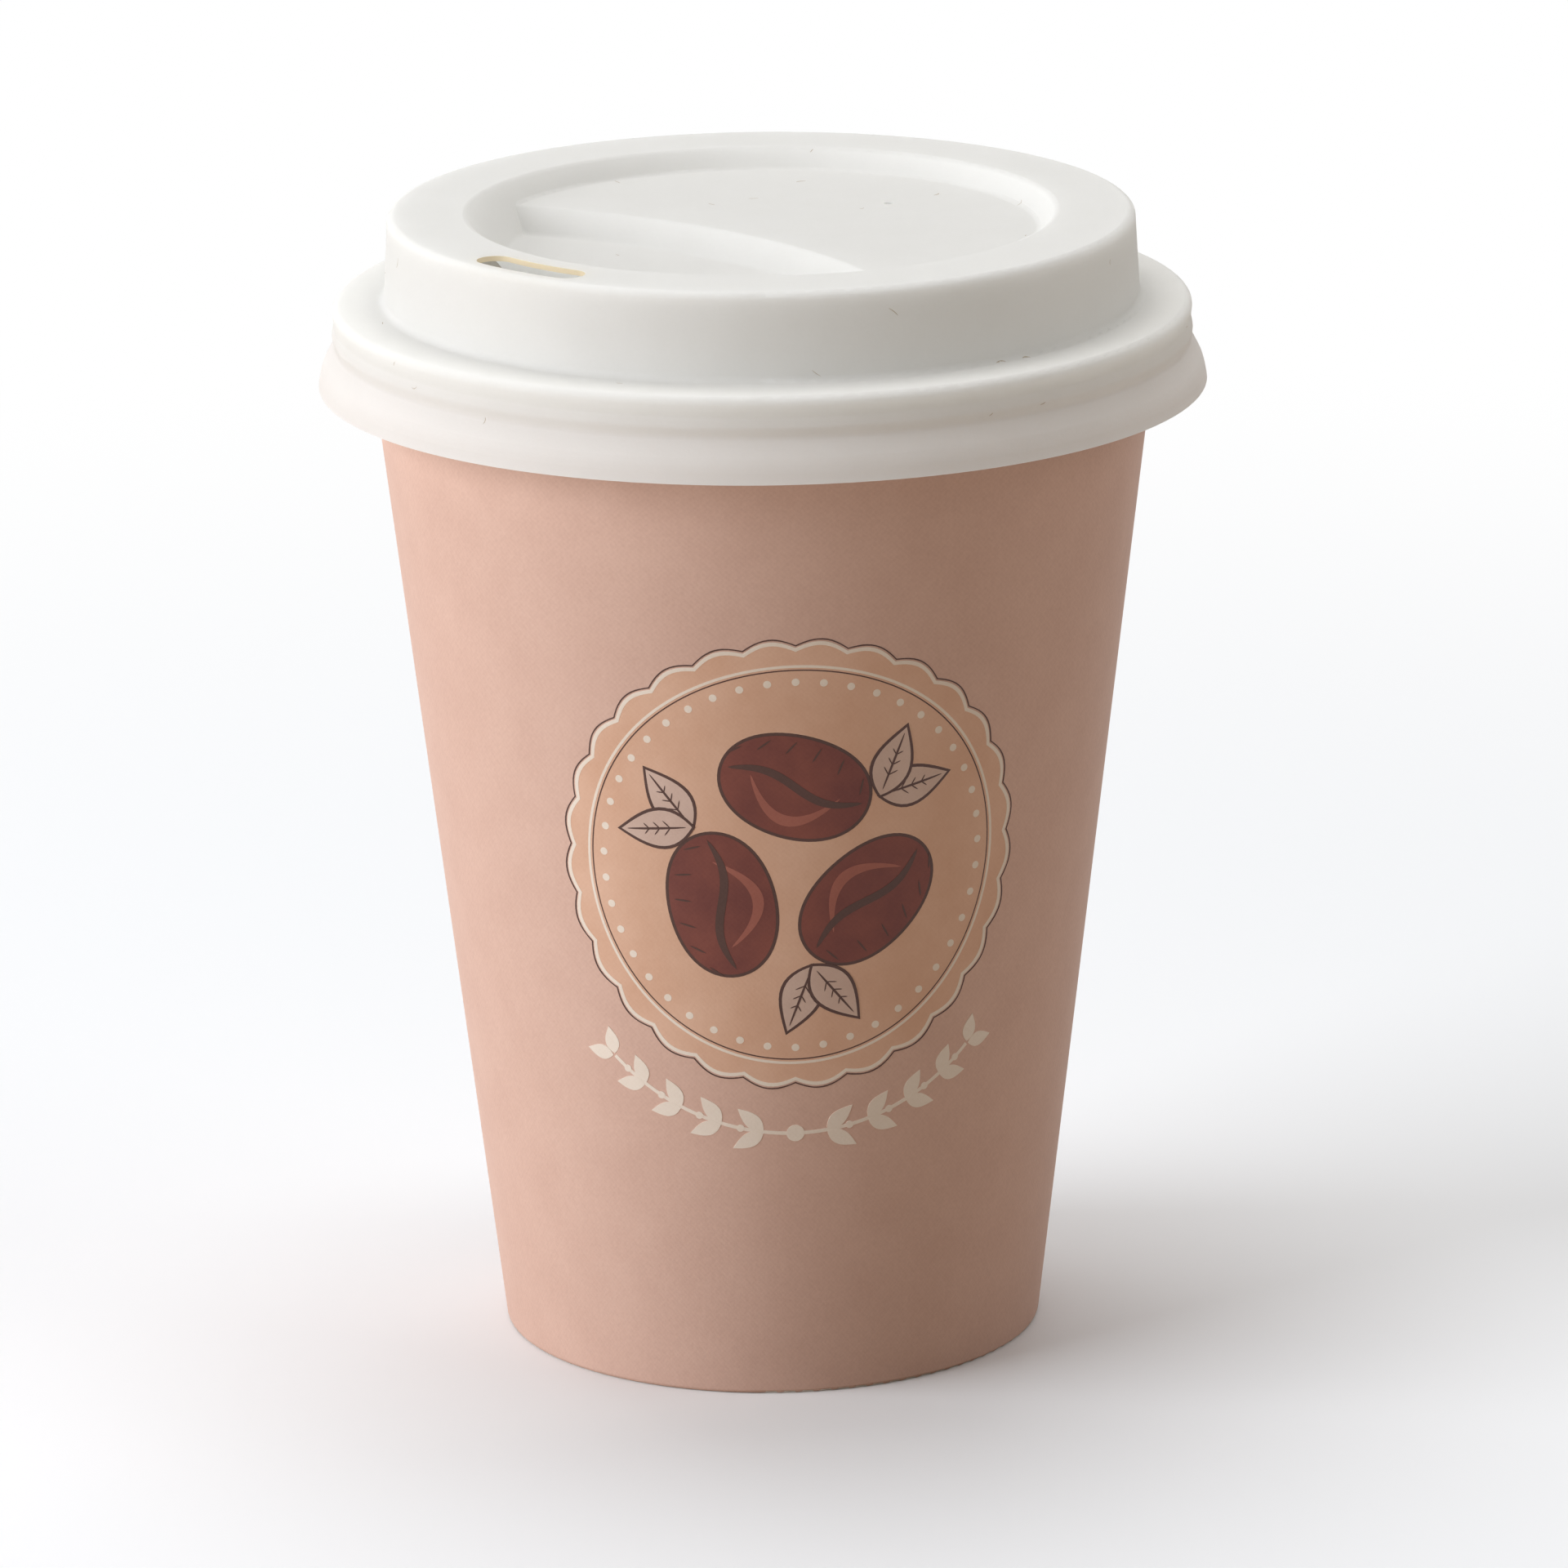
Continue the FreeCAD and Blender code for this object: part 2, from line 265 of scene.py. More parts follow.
# %% Relief of the board
GRAIN_MM = 0.45          # the paper's felt grain, drawn coarser than it is so that it shows
WIRE_MM = 0.6            # spacing of the wire marks, drawn wider for the same reason
WIRE_SHARE = 0.1         # how strongly the wire marks the felt
BOARD_BUMP = {"Strength": 0.5, "Distance": 0.03 * MM}      # how high the relief stands
MATT_FILM = {"IOR": 1.49, "Coat Weight": 0.08, "Coat Roughness": 0.45}      # the film's own shine
MIDDLE_R = FOOT_R + wall_slope * ROLL_UP / 2
WIRE_TURNS = round(math.tau * MIDDLE_R / WIRE_MM)


def board_relief(tree, place):
    """The grain as a height between 0 and 1: felt, crossed by the marks of the wire."""
    felt = add_node(tree, "TexNoise", {"Vector": place, "Scale": per(GRAIN_MM), "Detail": 3.0,
                                       "Roughness": 0.6})
    axes = add_node(tree, "SeparateXYZ", {0: place})
    angle = add_node(tree, "Math", {0: axes.outputs[1], 1: axes.outputs[0]}, operation="ARCTAN2")
    around = add_node(tree, "Math", {0: angle, 1: float(WIRE_TURNS)}, operation="MULTIPLY")
    along = add_node(tree, "Math", {0: axes.outputs[2], 1: per(WIRE_MM) * math.tau}, operation="MULTIPLY")
    rows = add_node(tree, "Math", {0: along}, operation="SINE")
    columns = add_node(tree, "Math", {0: around}, operation="SINE")
    cross = add_node(tree, "Math", {0: rows, 1: columns}, operation="MULTIPLY")
    return add_node(tree, "Math", {0: cross, 1: WIRE_SHARE, 2: felt}, operation="MULTIPLY_ADD")


print("the wire leaves", WIRE_TURNS, "marks round the cup")

# %% [markdown]
# Ink is never quite even. Where the paper's grain stands up it is a touch deeper, and it drifts
# over a few millimetres, as a wash of watercolour does. Each ink gets a light and a deep tone, and
# the two patterns choose between them.

# %% Matt laminated print
MOTTLE_MM = 6.0          # how far the ink's density drifts
GRAIN_LOW, GRAIN_HIGH = 0.3, 0.75       # the heights of the relief that give the two tones
DRIFT_LOW, DRIFT_HIGH = 0.3, 0.7        # the same for the drift
INK_ROUGH = 0.6


def ink_colour(tree, place, relief, code, deep, wash):
    """A colour between an ink's two tones. wash is how much of the range the drift takes."""
    drift = add_node(tree, "TexNoise", {"Vector": place, "Scale": per(MOTTLE_MM), "Detail": 3.0})
    fine = add_node(tree, "MapRange", {0: relief, 1: GRAIN_LOW, 2: GRAIN_HIGH, 3: 0.0, 4: 1.0 - wash})
    broad = add_node(tree, "MapRange", {0: drift, 1: DRIFT_LOW, 2: DRIFT_HIGH, 3: 0.0, 4: wash})
    share = add_node(tree, "Math", {0: fine, 1: broad}, operation="ADD", use_clamp=True)
    return add_node(tree, "Mix", {0: share, 6: colour(code), 7: colour(deep)}, data_type="RGBA")


def matt_ink(name, code, deep, wash=0.6):
    """An ink of the badge under the matt film."""
    material, tree = new_tree(name)
    place = add_node(tree, "TexCoord", {}).outputs["Object"]
    relief = board_relief(tree, place)
    shade = ink_colour(tree, place, relief, code, deep, wash)
    bump = add_node(tree, "Bump", {"Height": relief, **BOARD_BUMP})
    shader = add_node(tree, "BsdfPrincipled", {"Base Color": shade, "Roughness": INK_ROUGH,
                                               "Normal": bump, **MATT_FILM})
    add_node(tree, "OutputMaterial", {"Surface": shader})
    return material


print("each ink drifts between its two tones over", MOTTLE_MM, "mm")

# %% [markdown]
# One blank makes the whole wall. Its two faces could wear two materials, but the mesh of a packed
# piece is left as it is. So one material works out which of the two looks a point has, from the
# place of the point and the way that it faces. The print is where the board faces outwards and lies
# close to the wall's cone. The inner face, the roll, the hem and the cut edge along the seam stay
# white, as the board's own core is.

# %% Cup board, printed outside and white inside
ROLL_Z = 109.3           # where the wall ends and the rolled rim begins, in mm
FACES_OUT = 0.5          # the share of a normal that points outwards on the outer face, at least
INSIDE_ROUGH, PRINT_ROUGH = 0.42, 0.65
PRINT_WASH = 0.4         # how much of the print's two tones the drift takes


def cup_board():
    """The wall's board: matt print on the outer face, and a smoother white inside."""
    material, tree = new_tree("matt_laminated_cup_board")
    place = add_node(tree, "TexCoord", {}).outputs["Object"]
    axes = add_node(tree, "SeparateXYZ", {0: place})
    flat = add_node(tree, "VectorMath", {0: place, 1: (1, 1, 0)}, operation="MULTIPLY")
    reach = add_node(tree, "VectorMath", {0: flat}, operation="LENGTH")
    cone = add_node(tree, "Math", {0: axes.outputs[2], 1: wall_slope, 2: FOOT_R * MM},
                    operation="MULTIPLY_ADD")
    depth = add_node(tree, "Math", {0: cone, 1: reach}, operation="SUBTRACT")
    close = add_node(tree, "Math", {0: depth, 1: BOARD / 2 * MM}, operation="LESS_THAN")
    normal = add_node(tree, "TexCoord", {}).outputs["Normal"]
    outward = add_node(tree, "VectorMath", {0: normal, 1: flat}, operation="DOT_PRODUCT")
    facing = add_node(tree, "Math", {0: outward, 1: reach}, operation="DIVIDE")
    outside = add_node(tree, "Math", {0: facing, 1: FACES_OUT}, operation="GREATER_THAN")
    below = add_node(tree, "Math", {0: axes.outputs[2], 1: ROLL_Z * MM}, operation="LESS_THAN")
    wall = add_node(tree, "Math", {0: close, 1: outside}, operation="MULTIPLY")
    printed = add_node(tree, "Math", {0: wall, 1: below}, operation="MULTIPLY")
    relief = board_relief(tree, place)
    pink = ink_colour(tree, place, relief, "E1BFB0", "D5B1A2", PRINT_WASH)
    white = add_node(tree, "Mix", {0: relief, 6: colour("F3EFE7"), 7: colour("EBE5DA")}, data_type="RGBA")
    face = add_node(tree, "Mix", {0: printed, 6: white, 7: pink}, data_type="RGBA")
    bump = add_node(tree, "Bump", {"Height": relief, **BOARD_BUMP})
    rough = add_node(tree, "MapRange", {0: printed, 3: INSIDE_ROUGH, 4: PRINT_ROUGH})
    shader = add_node(tree, "BsdfPrincipled", {"Base Color": face, "Roughness": rough, "Normal": bump,
                                               **MATT_FILM})
    add_node(tree, "OutputMaterial", {"Surface": shader})
    return material


def dress(node, material):
    """Gives a node of the frame its material."""
    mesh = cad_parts[node].data
    mesh.materials.clear()
    mesh.materials.append(material)
    print(node, "wears", material.name)


dress("cup_sidewall", cup_board())

# %% [markdown]
# The disc at the bottom is the same board without print. A thin film of polyethylene on it keeps
# the drink in, so it has a faint gloss over a fibrous white. It is small and lies in the shade, so
# plain noise is enough for its fibres, without the cross of the wire.

# %% Bottom disc
FELT_MM = 0.5            # size of the fibres that show through the film


def coated_board():
    """Unprinted board under a thin film: white, fibrous and faintly glossy."""
    material, tree = new_tree("polyethylene_coated_board")
    place = add_node(tree, "TexCoord", {}).outputs["Object"]
    fibres = add_node(tree, "TexNoise", {"Vector": place, "Scale": per(FELT_MM), "Detail": 4.0,
                                         "Roughness": 0.65})
    bump = add_node(tree, "Bump", {"Height": fibres, "Strength": 0.4, "Distance": 0.02 * MM})
    white = add_node(tree, "Mix", {0: fibres, 6: colour("F2EEE6"), 7: colour("E6E0D4")}, data_type="RGBA")
    shader = add_node(tree, "BsdfPrincipled", {"Base Color": white, "Roughness": INSIDE_ROUGH,
                                               "Normal": bump, "IOR": 1.5})
    add_node(tree, "OutputMaterial", {"Surface": shader})
    return material


dress("cup_bottom", coated_board())

# %% [markdown]
# The sip hole is punched through the finished lid. Its cut edge is painted tan. This is painted shade that
# stands in for the dim, brownish view down through the hole. A piece of its own for that edge would be
# thinner than paper, so the lid's material finds the edge by its place. It is the upright part of
# the sheet that lies on the sip hole's ring and within the hole's angle.

# %% Painted shade on the sip hole's cut edge
SIP_R, SIP_WIDTH = 36.0, 4.2            # the sip hole's ring and its width with a little room, in mm
SIP_AZIMUTH = 228.0                     # its direction, seen from above
SIP_HALF = 14.0                         # half the angle that it spans
STEEP = 0.35                            # a face is upright where its normal rises less than this


def sip_edge_painted_shade(tree, place):
    """1 on the cut edge of the sip hole, where the tan painted shade goes, and 0 elsewhere."""
    flat = add_node(tree, "VectorMath", {0: place, 1: (1, 1, 0)}, operation="MULTIPLY")
    reach = add_node(tree, "VectorMath", {0: flat}, operation="LENGTH")
    on_ring = add_node(tree, "Math", {0: reach, 1: SIP_R * MM, 2: SIP_WIDTH / 2 * MM}, operation="COMPARE")
    a = math.radians(SIP_AZIMUTH)
    aim = add_node(tree, "VectorMath", {0: flat, 1: (math.cos(a), math.sin(a), 0)}, operation="DOT_PRODUCT")
    cosine = add_node(tree, "Math", {0: aim, 1: reach}, operation="DIVIDE")
    within = add_node(tree, "Math", {0: cosine, 1: math.cos(math.radians(SIP_HALF))},
                      operation="GREATER_THAN")
    hole = add_node(tree, "Math", {0: on_ring, 1: within}, operation="MULTIPLY")
    normal = add_node(tree, "SeparateXYZ", {0: add_node(tree, "TexCoord", {}).outputs["Normal"]})
    upright = add_node(tree, "Math", {0: normal.outputs[2], 1: 0.0, 2: STEEP}, operation="COMPARE")
    return add_node(tree, "Math", {0: hole, 1: upright}, operation="MULTIPLY")


print("the sip hole's cut edge is", SIP_R, "mm from the axis, at", SIP_AZIMUTH, "degrees")

# %% [markdown]
# The lid is pressed from wet plant fibre between heated tools. That leaves a smooth matt face with
# a grain like fine blotting paper and soft waves where the sheet shrank as it dried. Half a
# millimetre of it lets light through. Subsurface light suits a thick lump, such as a candle. A thin
# sheet is shown better by a translucent shader, which passes light from one face to the other, so
# part of the material is one. The inside then shows pale through the sip hole, and the lid's shaded
# side stays light.

# %% Moulded plant fibre
LIGHT_THROUGH = 0.46     # the share of the light that goes on through the sheet
PULP_MM = 0.35           # the fine grain of the fibre
CLOUD_MM = 5.0           # where the sheet is a little thicker or thinner
WAVE_MM = 14.0           # the waves that drying leaves


def moulded_fibre():
    """White moulded pulp: matt, finely grained and a little translucent."""
    material, tree = new_tree("moulded_plant_fibre")
    place = add_node(tree, "TexCoord", {}).outputs["Object"]
    grain = add_node(tree, "TexNoise", {"Vector": place, "Scale": per(PULP_MM), "Detail": 3.0,
                                        "Roughness": 0.6})
    clouds = add_node(tree, "TexNoise", {"Vector": place, "Scale": per(CLOUD_MM), "Detail": 2.0})
    waves = add_node(tree, "TexNoise", {"Vector": place, "Scale": per(WAVE_MM), "Detail": 1.0})
    fine = add_node(tree, "Bump", {"Height": grain, "Strength": 0.5, "Distance": 0.02 * MM})
    wavy = add_node(tree, "Bump", {"Height": waves, "Strength": 0.6, "Distance": 0.2 * MM, "Normal": fine})
    tone = add_node(tree, "Mix", {0: 0.5, 2: grain, 3: clouds}, data_type="FLOAT")
    white = add_node(tree, "Mix", {0: tone, 6: colour("F9F9F8"), 7: colour("F4F4F2")}, data_type="RGBA")
    # the tan on the sip hole's cut edge is painted shade, for the dim view down the hole
    shade = add_node(tree, "Mix", {0: sip_edge_painted_shade(tree, place), 6: white, 7: colour("EADBBD")},
                     data_type="RGBA")
    sheet = add_node(tree, "BsdfPrincipled", {"Base Color": shade, "Roughness": 0.72, "Normal": wavy,
                                              "IOR": 1.45, "Specular IOR Level": 0.35})
    glow = add_node(tree, "BsdfTranslucent", {"Color": shade, "Normal": fine})
    both = add_node(tree, "MixShader", {0: LIGHT_THROUGH, 1: sheet, 2: glow})
    add_node(tree, "OutputMaterial", {"Surface": both})
    return material


dress("lid", moulded_fibre())

# %% [markdown]
# Here and there the pulp holds a fibre that the bleach missed, and some show in the photograph. Such
# a fibre keeps the dull straw colour of the plant, in lighter and darker streaks.

# %% Unbleached fibre
STREAK_MM = 0.3          # how soon a fibre's tone changes


def raw_fibre():
    """Unbleached fibre: a dull, matt straw colour in lighter and darker streaks."""
    material, tree = new_tree("unbleached_fibre")
    place = add_node(tree, "TexCoord", {}).outputs["Object"]
    streak = add_node(tree, "TexNoise", {"Vector": place, "Scale": per(STREAK_MM), "Detail": 2.0})
    straw = add_node(tree, "Mix", {0: streak, 6: colour("D9CFC0"), 7: colour("B4A794")}, data_type="RGBA")
    bump = add_node(tree, "Bump", {"Height": streak, "Strength": 0.4, "Distance": 0.01 * MM})
    shader = add_node(tree, "BsdfPrincipled", {"Base Color": straw, "Roughness": 0.8, "Normal": bump})
    add_node(tree, "OutputMaterial", {"Surface": shader})
    return material


print("an unbleached fibre changes its tone over", STREAK_MM, "mm")

# %% [markdown]
# Stray fibres could be a noise in the lid's colour, but noise makes spots without ends. So each one
# is a thin bent strip that is extruded to a body and then laid on the sheet: every point of it
# moves to the nearest point of the lid. A line of sight through a pixel of the photograph finds the
# place of those that it shows. Seeded dice scatter the rest. Half of these fall on the lid from
# above, and half come at it from the sides.

# %% Stray fibres on the lid
STRAY_PROUD, STRAY_ROOT = 0.012, 0.05   # how far a fibre stands out of the sheet and reaches in, in mm
STRAY_TAPER = 0.7                       # the share of its width that it loses towards its ends
SEEN_MARKS = ((1225, 442), (1256, 437), (980, 222), (1148, 238))     # pixels of the photograph
SEEN_SIZES = (1.1, 0.16, 0.15)          # length, width and bow of those, in mm
SCATTERED = 34
FALL_R, FALL_FROM = 46, 140             # they fall within this radius and from this height, in mm
SIDE_FROM = 90                          # or come from this far to the side
SIDE_LOW, SIDE_SPAN = 106, 15           # at this height, or up to this much higher
STRAY_LENGTHS, STRAY_WIDTHS, STRAY_BOWS = (0.5, 1.3), (0.05, 0.09), (-0.2, 0.2)
STRAY_CUTS = 8
CLEAN_ABOVE = cad_box[1][2] - 0.3 * MM  # the lid's top ring ends the cup's box, and stays clean
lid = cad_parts["lid"]
dice = random.Random(23)


def lay_fibre(bm, spot, normal, turn, length, width, bow):
    """A bent strip on the lid at a spot, turned about the normal. Its sizes are in mm."""
    strip = bmesh.ops.create_grid(bm, x_segments=STRAY_CUTS, y_segments=1, size=1.0)["verts"]
    faces = list({face for v in strip for face in v.link_faces})
    raised = [v for v in bmesh.ops.extrude_face_region(bm, geom=faces)["geom"]
              if isinstance(v, bmesh.types.BMVert)]
    along = Matrix.Rotation(turn, 3, normal) @ normal.orthogonal().normalized()
    across = normal.cross(along)
    for verts, height in ((strip, -STRAY_ROOT), (raised, STRAY_PROUD)):
        for v in verts:
            taper = 1 - STRAY_TAPER * v.co.x ** 2
            sideways = bow * v.co.x ** 2 + v.co.y * width / 2 * taper
            start = spot + (along * (v.co.x * length / 2) + across * sideways) * MM
            _, nearest, outward, _ = lid.closest_point_on_mesh(start)
            v.co = nearest + outward * (height * MM)


bm = bmesh.new()
for px, py in SEEN_MARKS:
    sight = ahead + (right * (px - PHOTO_SIDE / 2) + above * (PHOTO_SIDE / 2 - py)) / PHOTO_REACH
    _, spot, normal, _ = lid.ray_cast(EYE, sight.normalized())
    lay_fibre(bm, spot, normal, dice.uniform(0, math.pi), *SEEN_SIZES)
for i in range(SCATTERED):
    a, share = dice.uniform(0, math.tau), dice.random()
    way = Vector((math.cos(a), math.sin(a), 0))
    if i % 2:
        start = way * (FALL_R * math.sqrt(share)) + Vector((0, 0, FALL_FROM))
        toward = Vector((0, 0, -1))
    else:
        start = way * SIDE_FROM + Vector((0, 0, SIDE_LOW + SIDE_SPAN * share))
        toward = -way
    hit, spot, normal, _ = lid.ray_cast(start * MM, toward)
    if hit and spot.z < CLEAN_ABOVE:
        lay_fibre(bm, spot, normal, dice.uniform(0, math.pi), dice.uniform(*STRAY_LENGTHS),
                  dice.uniform(*STRAY_WIDTHS), dice.uniform(*STRAY_BOWS))
bmesh.ops.recalc_face_normals(bm, faces=bm.faces[:])
strays = finished("stray_fibres", bm, raw_fibre())
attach(strays, "lid")

# %% [markdown]
# The badge was printed on the flat blank before the blank was wrapped. A drawing that is projected
# straight onto the wall would be stretched at its sides. So each shape is drawn flat, in
# millimetres, and the whole drawing is then rolled onto the cone. A cone rolls out flat without
# stretching: a point keeps its distance to the cone's tip, and its angle there shrinks by the sine
# of the wall's lean. Long faces would cut through a round wall, so the drawing is first cut into
# strips. Each colour is a film that lies a layer higher than the one that it is printed over.

# %% Wrap a flat drawing onto the wall
BADGE_AZIMUTH = math.radians(274.5)     # the badge's middle, seen from above
BADGE_Z = 60.75                         # its height, in mm
STRIP = 1.0                             # width of the strips, in mm
INK_ROOT = 0.05                         # how deep the ink's body reaches into the board
LAYER = 0.012                           # from one printed layer to the next
WELD = 1e-4                             # points nearer to each other than this are one, in mm
SHARP = math.radians(30)                # an edge that turns more than this stays sharp
badge_reach = (FOOT_R + wall_slope * BADGE_Z) / math.sin(wall_lean)


def on_the_cone(flat):
    """A flat point (right, up, out), in mm, rolled onto the wall, in metres."""
    reach = math.hypot(flat.x, badge_reach + flat.y)
    turn = math.atan2(flat.x, badge_reach + flat.y) / math.sin(wall_lean)
    r, z = reach * math.sin(wall_lean), (reach * math.sin(wall_lean) - FOOT_R) / wall_slope
    r, z = r + flat.z * math.cos(wall_lean), z - flat.z * math.sin(wall_lean)
    a = BADGE_AZIMUTH + turn
    return Vector((r * math.cos(a), r * math.sin(a), z)) * MM


def print_ink(name, bm, layer, material):
    """Flat faces become a film of ink on the given layer, wrapped onto the wall."""
    bmesh.ops.remove_doubles(bm, verts=bm.verts[:], dist=WELD)
    body = bmesh.ops.extrude_face_region(bm, geom=bm.faces[:])["geom"]
    raised = [v for v in body if isinstance(v, bmesh.types.BMVert)]
    for v in bm.verts:
        v.co.z = -INK_ROOT
    for v in raised:
        v.co.z = layer * LAYER
    bmesh.ops.recalc_face_normals(bm, faces=bm.faces[:])
    for axis in (0, 1):
        way = Vector((axis == 0, axis == 1, 0))
        low, high = min(v.co[axis] for v in bm.verts), max(v.co[axis] for v in bm.verts)
        for step in range(math.ceil(low / STRIP), math.floor(high / STRIP) + 1):
            bmesh.ops.bisect_plane(bm, geom=bm.verts[:] + bm.edges[:] + bm.faces[:], dist=WELD,
                                   plane_co=way * (step * STRIP), plane_no=way)
    for v in bm.verts:
        v.co = on_the_cone(v.co)
    for face in bm.faces:
        face.smooth = True
    piece = finished(name, bm, material)
    piece.data.set_sharp_from_angle(angle=SHARP)
    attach(piece, "cup")


print("the badge's middle is", round(badge_reach, 1), "mm from the cone's tip")

# %% [markdown]
# The field is a round of ochre with a scalloped edge, like a pastry's. A circle becomes scalloped
# when its radius swells and shrinks round the edge. Two cream lines run round the field, one at its
# edge and one further in. Each has a dark hairline beside it, and a ring of dots lies inside them.

# %% Badge field, lines and dots
SCALLOPS, SCALLOP_DEPTH = 28, 0.8
FIELD_R = 25.0
EDGE_R, EDGE_LINE = FIELD_R + 0.3, 0.42           # radius and width of the line at the edge
INNER_R, INNER_LINE = 22.6, EDGE_LINE * 0.7       # and of the line further in
EDGE_HAIR_R, INNER_HAIR_R = FIELD_R + 0.62, INNER_R - 0.5
HAIRLINE = 0.14
DOTS, DOT_RING, DOT_R = 44, 20.7, 0.42
WAVY_SIDES, ROUND_SIDES, DOT_SIDES = SCALLOPS * 12, 180, 14     # straight sides that make up a circle


def scalloped(verts):
    """Swells a circle's radius into scallops."""
    for v in verts:
        a = math.atan2(v.co.y, v.co.x)
        bulge = SCALLOP_DEPTH * (abs(math.sin(SCALLOPS * a / 2)) - 1)
        v.co *= 1 + bulge / v.co.length


def disc(bm, radius, sides, place=Matrix()):
    """A filled circle."""
    return bmesh.ops.create_circle(bm, cap_ends=True, segments=sides, radius=radius, matrix=place)["verts"]


def band(bm, outer, width, sides):
    """A flat ring inside a radius."""
    verts = []
    for radius in (outer, outer - width):
        verts += bmesh.ops.create_circle(bm, segments=sides, radius=radius)["verts"]
    edges = {edge for v in verts for edge in v.link_edges}
    bmesh.ops.bridge_loops(bm, edges=list(edges))
    return verts


ochre = matt_ink("ochre_ink", "E8C1A9", "DCB095", 0.7)
cream = matt_ink("cream_ink", "F8EEE3", "F1E5D8")
umber = matt_ink("umber_line_ink", "53352E", "44291F")

bm = bmesh.new()
scalloped(disc(bm, FIELD_R, WAVY_SIDES))
print_ink("badge_field", bm, 1, ochre)

bm = bmesh.new()
scalloped(band(bm, EDGE_R, EDGE_LINE, WAVY_SIDES))
band(bm, INNER_R, INNER_LINE, ROUND_SIDES)
for i in range(DOTS):
    spin = Matrix.Rotation(math.tau * i / DOTS, 4, "Z")
    disc(bm, DOT_R, DOT_SIDES, spin @ Matrix.Translation((DOT_RING, 0, 0)))
print_ink("badge_lines", bm, 2, cream)

bm = bmesh.new()
scalloped(band(bm, EDGE_HAIR_R, HAIRLINE, WAVY_SIDES))
band(bm, INNER_HAIR_R, HAIRLINE, ROUND_SIDES)
print_ink("badge_hairlines", bm, 2, umber)

# %% [markdown]
# Three roasted beans fill the middle. A bean is an oval with a crease down its length that swings
# like an S. Each is laid down in layers, as a printer would: a dark oval that shows as the outline,
# the brown oval on it, then a lighter crescent, the crease, and short pen strokes for the shade.

# %% Beans
BEAN_LENGTH, BEAN_WIDTH = 16.0, 11.0
BEAN_FULLNESS = 0.08     # how much a bean bulges beyond an ellipse
BEAN_RING = 8.9          # badge's middle to each bean's
BEAN_TURN = math.radians(72)
OUTLINE = 0.35
BEANS, BEAN_STEP = 3, 120               # and the angle from one to the next, in degrees
GLINT_LENGTH, GLINT_WIDTH, GLINT_LIFT = BEAN_LENGTH * 0.62, 1.2, BEAN_WIDTH * 0.35
CREASE_LENGTH, CREASE_WIDTH, CREASE_BEND = BEAN_LENGTH * 0.93, 0.95, -0.9
STROKES = 6              # pen strokes along a bean's shaded side
STROKE_LENGTH, STROKE_WIDTH = 1.9, 0.2
STROKE_EDGE = BEAN_WIDTH * 0.47         # the middle strokes start this far from a bean's middle
STROKE_SHIFT = 1.1                      # from a stroke's start to its middle
STROKE_TURN, STROKE_FAN = 70, 60        # their middle direction and how they fan out, in degrees


def bean_place(index):
    """Where each bean of the three lies, turned along its ring."""
    a = math.radians(90 + BEAN_STEP * index)
    return (Matrix.Rotation(a, 4, "Z") @ Matrix.Translation((BEAN_RING, 0, 0))
            @ Matrix.Rotation(BEAN_TURN, 4, "Z"))


def oval(bm, length, width, place, sides=64):
    """A filled oval, fuller than an ellipse."""
    verts = disc(bm, 1.0, sides)
    for v in verts:
        v.co.y *= 1 + BEAN_FULLNESS * v.co.x ** 2
        v.co.x *= length / 2
        v.co.y *= width / 2
    bmesh.ops.transform(bm, matrix=place, verts=verts)


def ribbon(bm, length, width, bend, lift, place, cuts=32):
    """A strip along a bean that tapers to its ends. bend swings it like an S, and lift bows it."""
    verts = bmesh.ops.create_grid(bm, x_segments=cuts, y_segments=1, size=1.0)["verts"]
    for v in verts:
        t = v.co.x
        middle = bend * math.sin(math.pi * t) + lift * (1 - t * t)
        v.co = Vector((t * length / 2, middle + v.co.y * width / 2 * math.sqrt(max(0.0, 1 - t * t)), 0))
    bmesh.ops.transform(bm, matrix=place, verts=verts)


maroon = matt_ink("maroon_ink", "84483C", "66302A", 0.8)
russet = matt_ink("russet_ink", "A9685A", "98594C", 0.7)

outlines, beans, glints, creases = (bmesh.new() for _ in range(4))
for i in range(BEANS):
    place = bean_place(i)
    oval(outlines, BEAN_LENGTH + 2 * OUTLINE, BEAN_WIDTH + 2 * OUTLINE, place)
    oval(beans, BEAN_LENGTH, BEAN_WIDTH, place)
    ribbon(glints, GLINT_LENGTH, GLINT_WIDTH, 0.0, GLINT_LIFT, place)
    ribbon(creases, CREASE_LENGTH, CREASE_WIDTH, CREASE_BEND, 0.0, place)
    for k in range(STROKES):
        t = (k - (STROKES - 1) / 2) / STROKES
        edge = -STROKE_EDGE * math.sqrt(1 - 4 * t * t)
        foot = place @ Matrix.Translation((t * BEAN_LENGTH, edge, 0))
        turn = Matrix.Rotation(math.radians(STROKE_TURN - STROKE_FAN * t), 4, "Z")
        ribbon(creases, STROKE_LENGTH, STROKE_WIDTH, 0.0, 0.0,
               foot @ turn @ Matrix.Translation((STROKE_SHIFT, 0, 0)), cuts=6)
print_ink("bean_outlines", outlines, 2, umber)
print_ink("beans", beans, 3, maroon)
print_ink("bean_glints", glints, 4, russet)
print_ink("bean_creases", creases, 5, umber)

# %% [markdown]
# A pair of leaves in a pale rose grows out of each gap between two beans, with a dark outline, a
# midrib and side ribs. A leaf is a circle that is pinched to a point at both ends. The front leaf of
# a pair is printed over the back one.

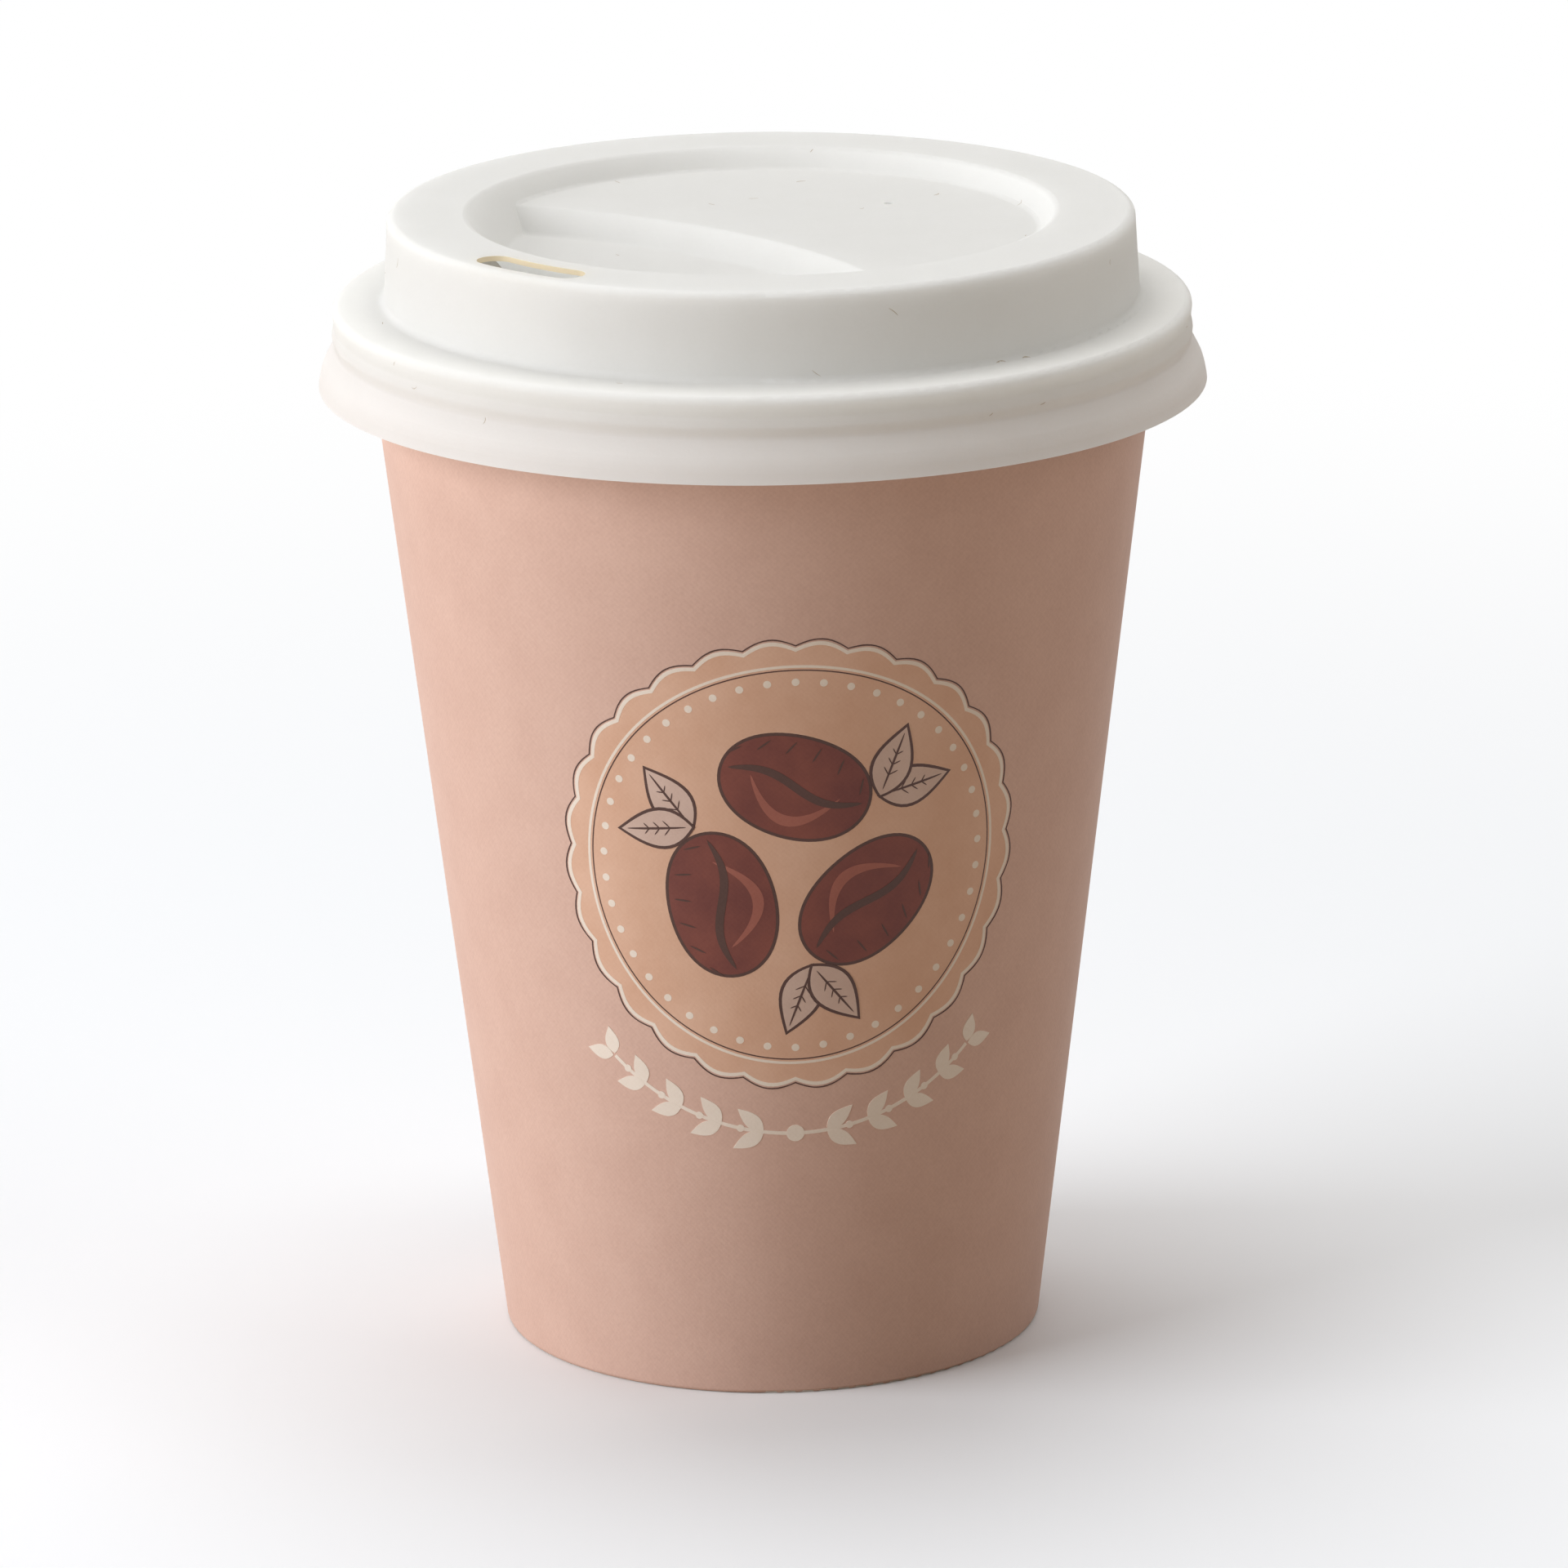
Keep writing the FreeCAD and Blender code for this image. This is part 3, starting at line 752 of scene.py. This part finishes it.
# %% Leaves
LEAF_LENGTH, LEAF_WIDTH = 7.8, 3.9
LEAF_ROOT = 11.6         # badge's middle to where a pair grows from
LEAF_TURN = 159          # the first pair's direction, in degrees
LEAF_SPREAD = 29         # each leaf's lean away from it
LEAF_SKEW = 0.35         # how much broader a leaf is towards its root
LEAF_TIP = 1e-6          # a point of the circle nearer to its axis than this becomes a tip
TIP_OUTLINE = 2.4 * OUTLINE             # an outline has to be longer where it ends in points
MIDRIB_LENGTH, MIDRIB_WIDTH = LEAF_LENGTH * 0.84, 0.26
RIB_STARTS = (0.3, 0.45, 0.6)           # where the side ribs leave the midrib, as shares of its leaf
RIB_LENGTH, RIB_WIDTH, RIB_SHIFT = 1.5, 0.14, 0.7       # they get shorter towards the tip
RIB_LEAN = 48                           # in degrees


def leaf(bm, length, width, place, sides=40):
    """A filled leaf, broad nearer its root, which is at the place."""
    verts = disc(bm, 1.0, sides)
    for v in verts:
        t = v.co.x
        half = width / 2 * (1 - t * t) * (1 - LEAF_SKEW * t)
        v.co.y = math.copysign(half, v.co.y) if abs(v.co.y) > LEAF_TIP else 0.0
        v.co.x = (t + 1) * length / 2
    bmesh.ops.transform(bm, matrix=place, verts=verts)


rose = matt_ink("rose_grey_ink", "DFC6BA", "CFB3A6", 0.8)
for which, side, layer in (("back", -1, 2), ("front", 1, 5)):
    edges, blades, ribs = (bmesh.new() for _ in range(3))
    for i in range(BEANS):
        gap = Matrix.Rotation(math.radians(LEAF_TURN + BEAN_STEP * i), 4, "Z")
        spread = Matrix.Rotation(math.radians(LEAF_SPREAD * side), 4, "Z")
        root = gap @ Matrix.Translation((LEAF_ROOT, 0, 0)) @ spread
        leaf(edges, LEAF_LENGTH + TIP_OUTLINE, LEAF_WIDTH + 2 * OUTLINE,
             root @ Matrix.Translation((-OUTLINE, 0, 0)))
        leaf(blades, LEAF_LENGTH, LEAF_WIDTH, root)
        middle = root @ Matrix.Translation((LEAF_LENGTH / 2, 0, 0))
        ribbon(ribs, MIDRIB_LENGTH, MIDRIB_WIDTH, 0.0, 0.0, middle)
        for share in RIB_STARTS:
            for way in (-1, 1):
                start = root @ Matrix.Translation((share * LEAF_LENGTH, 0, 0))
                lean = Matrix.Rotation(math.radians(RIB_LEAN * way), 4, "Z")
                ribbon(ribs, RIB_LENGTH - share, RIB_WIDTH, 0.0, 0.0,
                       start @ lean @ Matrix.Translation((RIB_SHIFT - share / 2, 0, 0)), cuts=6)
    print_ink(which + "_leaf_outlines", edges, layer, umber)
    print_ink(which + "_leaves", blades, layer + 1, rose)
    print_ink(which + "_leaf_ribs", ribs, layer + 2, umber)

# %% [markdown]
# Under the badge a cream sprig runs along an arc. It grows both ways from a berry in its middle,
# with a pair of leaves at each step and a small berry between the pairs.

# %% Sprig
SPRIG_R = 30.6           # badge's middle to the stem
SPRIG_SPAN = 40.0        # the stem runs this far to each side of straight down, in degrees
SPRIG_PAIRS = 5          # pairs of leaves on each side
FIRST_PAIR = 0.7         # where the first pair is, in steps from the middle
STEM, STEM_CUTS = 0.4, 96               # the stem's thickness, in mm, and its cuts
SPRIG_LEAF, SPRIG_LEAF_WIDTH = 3.7, 1.6
LEAF_SHRINK = 0.15       # each pair's leaves are this much shorter than the pair's before
LEAF_GAP = 0.25          # from the stem to a leaf's root
LEAF_LEAN = 36           # a leaf's lean away from the stem, in degrees
MIDDLE_BERRY_R, BERRY_R = 0.95, 0.42
BERRY_AHEAD = 0.62       # how far a berry is beyond its pair of leaves, as a share of a step


def along_sprig(degrees):
    """The place on the stem at an angle from straight down, with X along the stem."""
    return Matrix.Rotation(math.radians(degrees), 4, "Z") @ Matrix.Translation((0, -SPRIG_R, 0))


bm = bmesh.new()
for v in bmesh.ops.create_grid(bm, x_segments=STEM_CUTS, y_segments=1, size=1.0)["verts"]:
    v.co = along_sprig(SPRIG_SPAN * v.co.x) @ Vector((0, v.co.y * STEM / 2, 0))
print_ink("sprig_stem", bm, 1, cream)

bm = bmesh.new()
disc(bm, MIDDLE_BERRY_R, sides=24, place=along_sprig(0))
for side in (-1, 1):
    for i in range(SPRIG_PAIRS):
        angle = side * SPRIG_SPAN * (i + FIRST_PAIR) / (SPRIG_PAIRS - 1 + FIRST_PAIR)
        away = along_sprig(angle) @ Matrix.Rotation(0 if side > 0 else math.pi, 4, "Z")
        for lean in (-1, 1):
            leaf(bm, SPRIG_LEAF - LEAF_SHRINK * i, SPRIG_LEAF_WIDTH,
                 away @ Matrix.Rotation(math.radians(LEAF_LEAN * lean), 4, "Z")
                 @ Matrix.Translation((LEAF_GAP, 0, 0)))
        if i < SPRIG_PAIRS - 1:
            beyond = angle + side * SPRIG_SPAN * BERRY_AHEAD / SPRIG_PAIRS
            disc(bm, BERRY_R, DOT_SIDES, along_sprig(beyond))
print_ink("sprig_leaves", bm, 2, cream)
